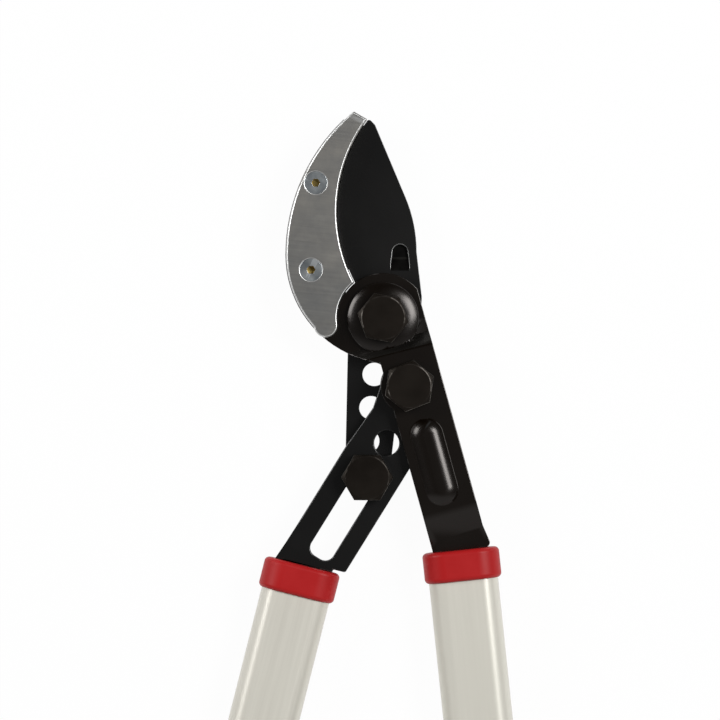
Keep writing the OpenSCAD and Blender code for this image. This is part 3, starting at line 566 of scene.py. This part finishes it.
def blade_piece():
    """Blade with painted shade in the recess of its tongue, a painted highlight along the tongue's knee, and
    a bright rim round it.
    """
    bm = merged("blade", BLADE_CUTS)

    def at_tongue(element):
        at = middle(element) / MM
        level = TONGUE[1] - TONGUE_BELOW < at.y < TONGUE[1] + TONGUE_ABOVE
        return abs(at.x - TONGUE[0]) < TONGUE_ASIDE and level and at.z > BLADE_TOP - TONGUE_DEEP

    def below(element, depth):
        return middle(element).z < (BLADE_TOP - depth) * MM

    # Faces inside the tongue get the dark finish: painted shade in the recess
    for face in bm.faces:
        if at_tongue(face) and below(face, SKIN):
            face.material_index = 2
    # The tongue's knee is marked so that it lightens: a painted highlight along the bend
    knee = [e for e in sharp_edges(bm, 10, 28) if at_tongue(e) and below(e, TONGUE_KNEE)]
    round_edges(bm, knee, 0.5, 3, 0.7)
    rim = [e for e in sharp_edges(bm) if at_tongue(e) and not below(e, SKIN)]
    for face in round_edges(bm, rim, 0.34, 2, 0.0):
        face.material_index = 1
    round_edges(bm, [e for e in sharp_edges(bm) if e.is_convex and not at_tongue(e)], 0.25, 2)
    finish_piece(bm, "blade", [PAINT, STEEL, PAINTED_SHADE])


def add_lip(bm):
    """Dark lip on the anvil's rib, a sheet of painted shade, which closes the slit behind the shut blade's
    edge.
    """
    steps = 48
    rows = []
    for i in range(steps + 1):
        angle = math.radians(LIP_FROM + LIP_TURN * i / steps)
        ring = []
        for off, z in ((LIP_IN, LIP_Z), (LIP_OUT, LIP_Z), (LIP_OUT, LIP_Z - LIP_T), (LIP_IN, LIP_Z - LIP_T)):
            r = EDGE_R + off
            at = (EDGE[0] + r * math.cos(angle), EDGE[1] + r * math.sin(angle), z)
            ring.append(bm.verts.new(Vector(at) * MM))
        rows.append(ring)
    faces = [bm.faces.new(rows[0]), bm.faces.new(rows[-1])]
    for first, second in zip(rows, rows[1:]):
        for i in range(4):
            faces.append(bm.faces.new((first[i - 1], first[i], second[i], second[i - 1])))
    for face in faces:
        face.material_index = 1
    bmesh.ops.recalc_face_normals(bm, faces=faces)


def screw_distance(at):
    return min(math.hypot(at.x - x, at.y - y) for x, y in SCREWS)


def anvil_piece():
    """Jaw whose chamfers carry a painted highlight, apart from the shaded sides and the rims of the screws.
    """
    bm = merged("anvil", ANVIL_CUTS)
    # Chamfers are marked for the painted highlight
    round_edges(bm, [e for e in sharp_edges(bm) if e.is_convex], 0.24, 4, 1.0)
    layer = bm.faces.layers.float["wear_and_highlight"]
    for face in bm.faces:
        at = middle(face) / MM
        if face.normal.z < 0.95 and at.z > CHEEK_TOP - CHEEK_RIM:
            shaded = face.normal.x > 0 and face.normal.z < 0.8
            by_screw = screw_distance(at) < SCREW_REACH
            face[layer] = 0.0 if shaded else 0.15 if by_screw else 1.0
    add_lip(bm)
    finish_piece(bm, "anvil", [ANVIL, PAINTED_SHADE])


def screw_piece():
    bm = merged("anvil_screws")
    for face in bm.faces:
        at = middle(face) / MM
        if screw_distance(at) < SOCKET_REACH and CHEEK_TOP - SOCKET_DEEP < at.z < CHEEK_TOP - SKIN:
            face.material_index = 1
    round_edges(bm, sharp_edges(bm), 0.12, 2, 0.2)
    finish_piece(bm, "anvil_screws", [ZINC, SOCKET])


def bolt_piece(node, wear_and_highlight):
    """Bolt whose head carries a painted highlight, with broken wear, on the sides of its face's rim and along
    its lower flats.
    """
    bm = merged(node)
    top = max(v.co.z for v in bm.verts)
    rim = [v.co for v in bm.verts if v.co.z > top - 0.01 * MM]
    axis = sum(rim, Vector()) / len(rim)
    reach = max((at - axis).length for at in rim) + 0.25 * MM
    layer = bm.faces.layers.float["wear_and_highlight"]
    for face in round_edges(bm, sharp_edges(bm), 0.22, 2, wear_and_highlight):
        off = (middle(face) - axis).xy
        side = off.normalized()
        # Only the sides where the lamps catch the head keep the full painted highlight
        if off.length < reach:
            worn_and_lit = side.x < -0.8 or (side.x > 0.35 and side.y > -0.35)
        else:
            worn_and_lit = side.y < 0.1
        if not worn_and_lit:
            face[layer] = 0.1 * wear_and_highlight
    finish_piece(bm, node, [OXIDE])


def grip_inset(down):
    """Depth of the grip's skin under its full width: round end rings and a ribbed waist between them."""
    end = min(down, GRIP_LEN - down)
    phase = (down - GRIP_LEN / 2) / RIB_STEP
    ridge = (0.5 + 0.5 * math.cos(math.tau * phase)) ** 0.55
    waist = GRIP_WAIST - RIB_H * ridge
    if end >= GRIP_RING:
        return waist
    round_part = max(0.0, GRIP_R - min(end, GRIP_RING - end))
    ring = GRIP_R - math.sqrt(GRIP_R ** 2 - round_part ** 2)
    return ring if end < GRIP_RING / 2 else min(ring, waist)


def oval_ring(bm, place, w, t, y, count=80):
    """Loop of vertices round a flat oval that stands across the handle."""
    loop = []
    for i in range(count):
        angle = math.tau * (i + 0.5) / count
        side = math.copysign((w - t) / 2, math.cos(angle))
        at = Vector((side + t / 2 * math.cos(angle), y, t / 2 * math.sin(angle)))
        loop.append(bm.verts.new(place @ (at * MM)))
    return loop


def grip_piece(node, top, tilt):
    """Ribbed rubber sleeve, open at both ends, round the tube."""
    bm = bmesh.new()
    place = Matrix.Translation(Vector((*top, AXIS_Z)) * MM) @ Matrix.Rotation(math.radians(tilt), 4, "Z")
    start = GRIP_LEN - TUBE_END
    steps = 300
    loops = []
    for i in range(steps + 1):
        down = GRIP_LEN * i / steps
        inset = 2 * grip_inset(down)
        loops.append(oval_ring(bm, place, GRIP_W - inset, GRIP_T - inset, start - down))
    for down in (GRIP_LEN, 0.0):
        loops.append(oval_ring(bm, place, *GRIP_BORE, start - down))
    for first, second in zip(loops, loops[1:] + loops[:1]):
        for i in range(len(first)):
            bm.faces.new((first[i - 1], first[i], second[i], second[i - 1]))
    bmesh.ops.recalc_face_normals(bm, faces=bm.faces)
    finish_piece(bm, node, [RUBBER])


arm_piece()
blade_piece()
anvil_piece()
screw_piece()
rounded_piece("drive_lever", PAINT, 0.5, 3, cuts=LEVER_CUTS)
for bolt, wear_and_highlight in (("main_bolt", 1.0), ("lever_bolt", 1.0), ("slide_bolt", 0.5)):
    bolt_piece(bolt, wear_and_highlight)
for small in ("main_washer", "main_nut", "lever_washer", "lever_nut", "slide_washer", "slide_nut",
              "right_rivets", "left_rivets"):
    rounded_piece(small, ZINC, 0.2)
for collar in ("right_collar", "left_collar"):
    rounded_piece(collar, RED, 0.5, 3, 0.0)
rounded_piece("right_tube", RIGHT_TUBE, 0.2)
rounded_piece("left_tube", LEFT_TUBE, 0.2)
grip_piece("right_grip", RIGHT_TOP, RIGHT_TILT)
grip_piece("left_grip", LEFT_TOP, LEFT_TILT)
for cap in ("right_end_cap", "left_end_cap"):
    rounded_piece(cap, PLASTIC, 0.5, 3, 0.0)
for node, material in (("main_bush", BRONZE), ("lever_bush", BRONZE), ("slide_bush", BRONZE),
                       ("main_spring", ZINC), ("right_insert", PLASTIC), ("left_insert", PLASTIC)):
    nodes[node].data.materials.clear()
    nodes[node].data.materials.append(material)


# Studio

def set_camera():
    data = bpy.data.cameras.new("camera")
    data.sensor_width = 36.0
    data.lens = data.sensor_width * VIEW_HEIGHT / (PIXELS * PIXEL * MM)
    data.clip_end = 50.0
    camera = bpy.data.objects.new("camera", data)
    camera.location = Vector(VIEW) * MM + Vector((0.0, 0.0, VIEW_HEIGHT))
    scene.collection.objects.link(camera)
    scene.camera = camera


def set_softbox(name, azimuth, elevation, radiance):
    """Rectangular lamp that faces the jaws' pivot, with its long side level."""
    data = bpy.data.lights.new(name, "AREA")
    data.shape = "RECTANGLE"
    data.size, data.size_y = LAMP_SIZE
    data.energy = radiance * math.pi * LAMP_SIZE[0] * LAMP_SIZE[1]
    lamp = bpy.data.objects.new(name, data)
    a, e = math.radians(azimuth), math.radians(elevation)
    towards = Vector((math.cos(a) * math.cos(e), math.sin(a) * math.cos(e), math.sin(e)))
    lamp.location = Vector(LIT) * MM + towards * LAMP_FAR
    lamp.rotation_euler = towards.to_track_quat("Z", "Y").to_euler()
    lamp.visible_camera = False
    scene.collection.objects.link(lamp)


def set_floor():
    """White floor that lights the part only as a matt sheet would."""
    bm = bmesh.new()
    bmesh.ops.create_grid(bm, x_segments=1, y_segments=1, size=FLOOR_HALF)
    mesh = bpy.data.meshes.new("floor")
    bm.to_mesh(mesh)
    bm.free()
    material = bpy.data.materials.new("floor")
    material.use_nodes = True
    tree = material.node_tree
    tree.nodes.clear()
    path = add(tree, "LightPath")
    direct = add(
        tree, "Math", {0: path.outputs["Is Camera Ray"], 1: path.outputs["Is Glossy Ray"]}, operation="ADD")
    seen = add(
        tree, "Math", {0: direct.outputs[0], 1: path.outputs["Is Transmission Ray"]},
        operation="ADD", use_clamp=True)
    share = add(tree, "Math", {0: seen.outputs[0], 1: FLOOR_WHITE}, operation="MULTIPLY")
    matt = add(tree, "BsdfDiffuse", {"Color": (0.92, 0.92, 0.92, 1.0)})
    white = add(tree, "Emission", {"Color": (1.0, 1.0, 1.0, 1.0), "Strength": 1.0})
    both = add(tree, "MixShader", {0: share.outputs[0], 1: matt.outputs[0], 2: white.outputs[0]})
    out = add(tree, "OutputMaterial")
    tree.links.new(both.outputs[0], out.inputs["Surface"])
    mesh.materials.append(material)
    floor = bpy.data.objects.new("floor", mesh)
    scene.collection.objects.link(floor)


def set_world():
    """Dim room with a pale wall in front and a dark one with a paler foot behind."""
    world = bpy.data.worlds.new("studio")
    world.use_nodes = True
    scene.world = world
    tree = world.node_tree
    back = tree.nodes["Background"]
    ray = add(tree, "TexCoord").outputs["Generated"]
    along = add(tree, "SeparateXYZ", {0: ray}).outputs["Y"]
    behind = spread(tree, along, 0.0, 0.45, 0.115, 0.03)
    front = spread(tree, along, -0.62, -0.3, 0.36, 0.0)
    low = spread(tree, along, 0.75, 0.95, 0.0, 0.1)
    walls = add(tree, "Math", {0: front, 1: low}, operation="ADD").outputs[0]
    grey = add(tree, "Math", {0: behind, 1: walls}, operation="ADD").outputs[0]
    tree.links.new(grey, back.inputs["Color"])
    back.inputs["Strength"].default_value = 1.0


set_camera()
set_softbox("right_softbox", 22, 52, 12.0)
set_softbox("left_softbox", 157, 33, 8.5)
set_floor()
set_world()
scene.view_settings.view_transform = "Standard"
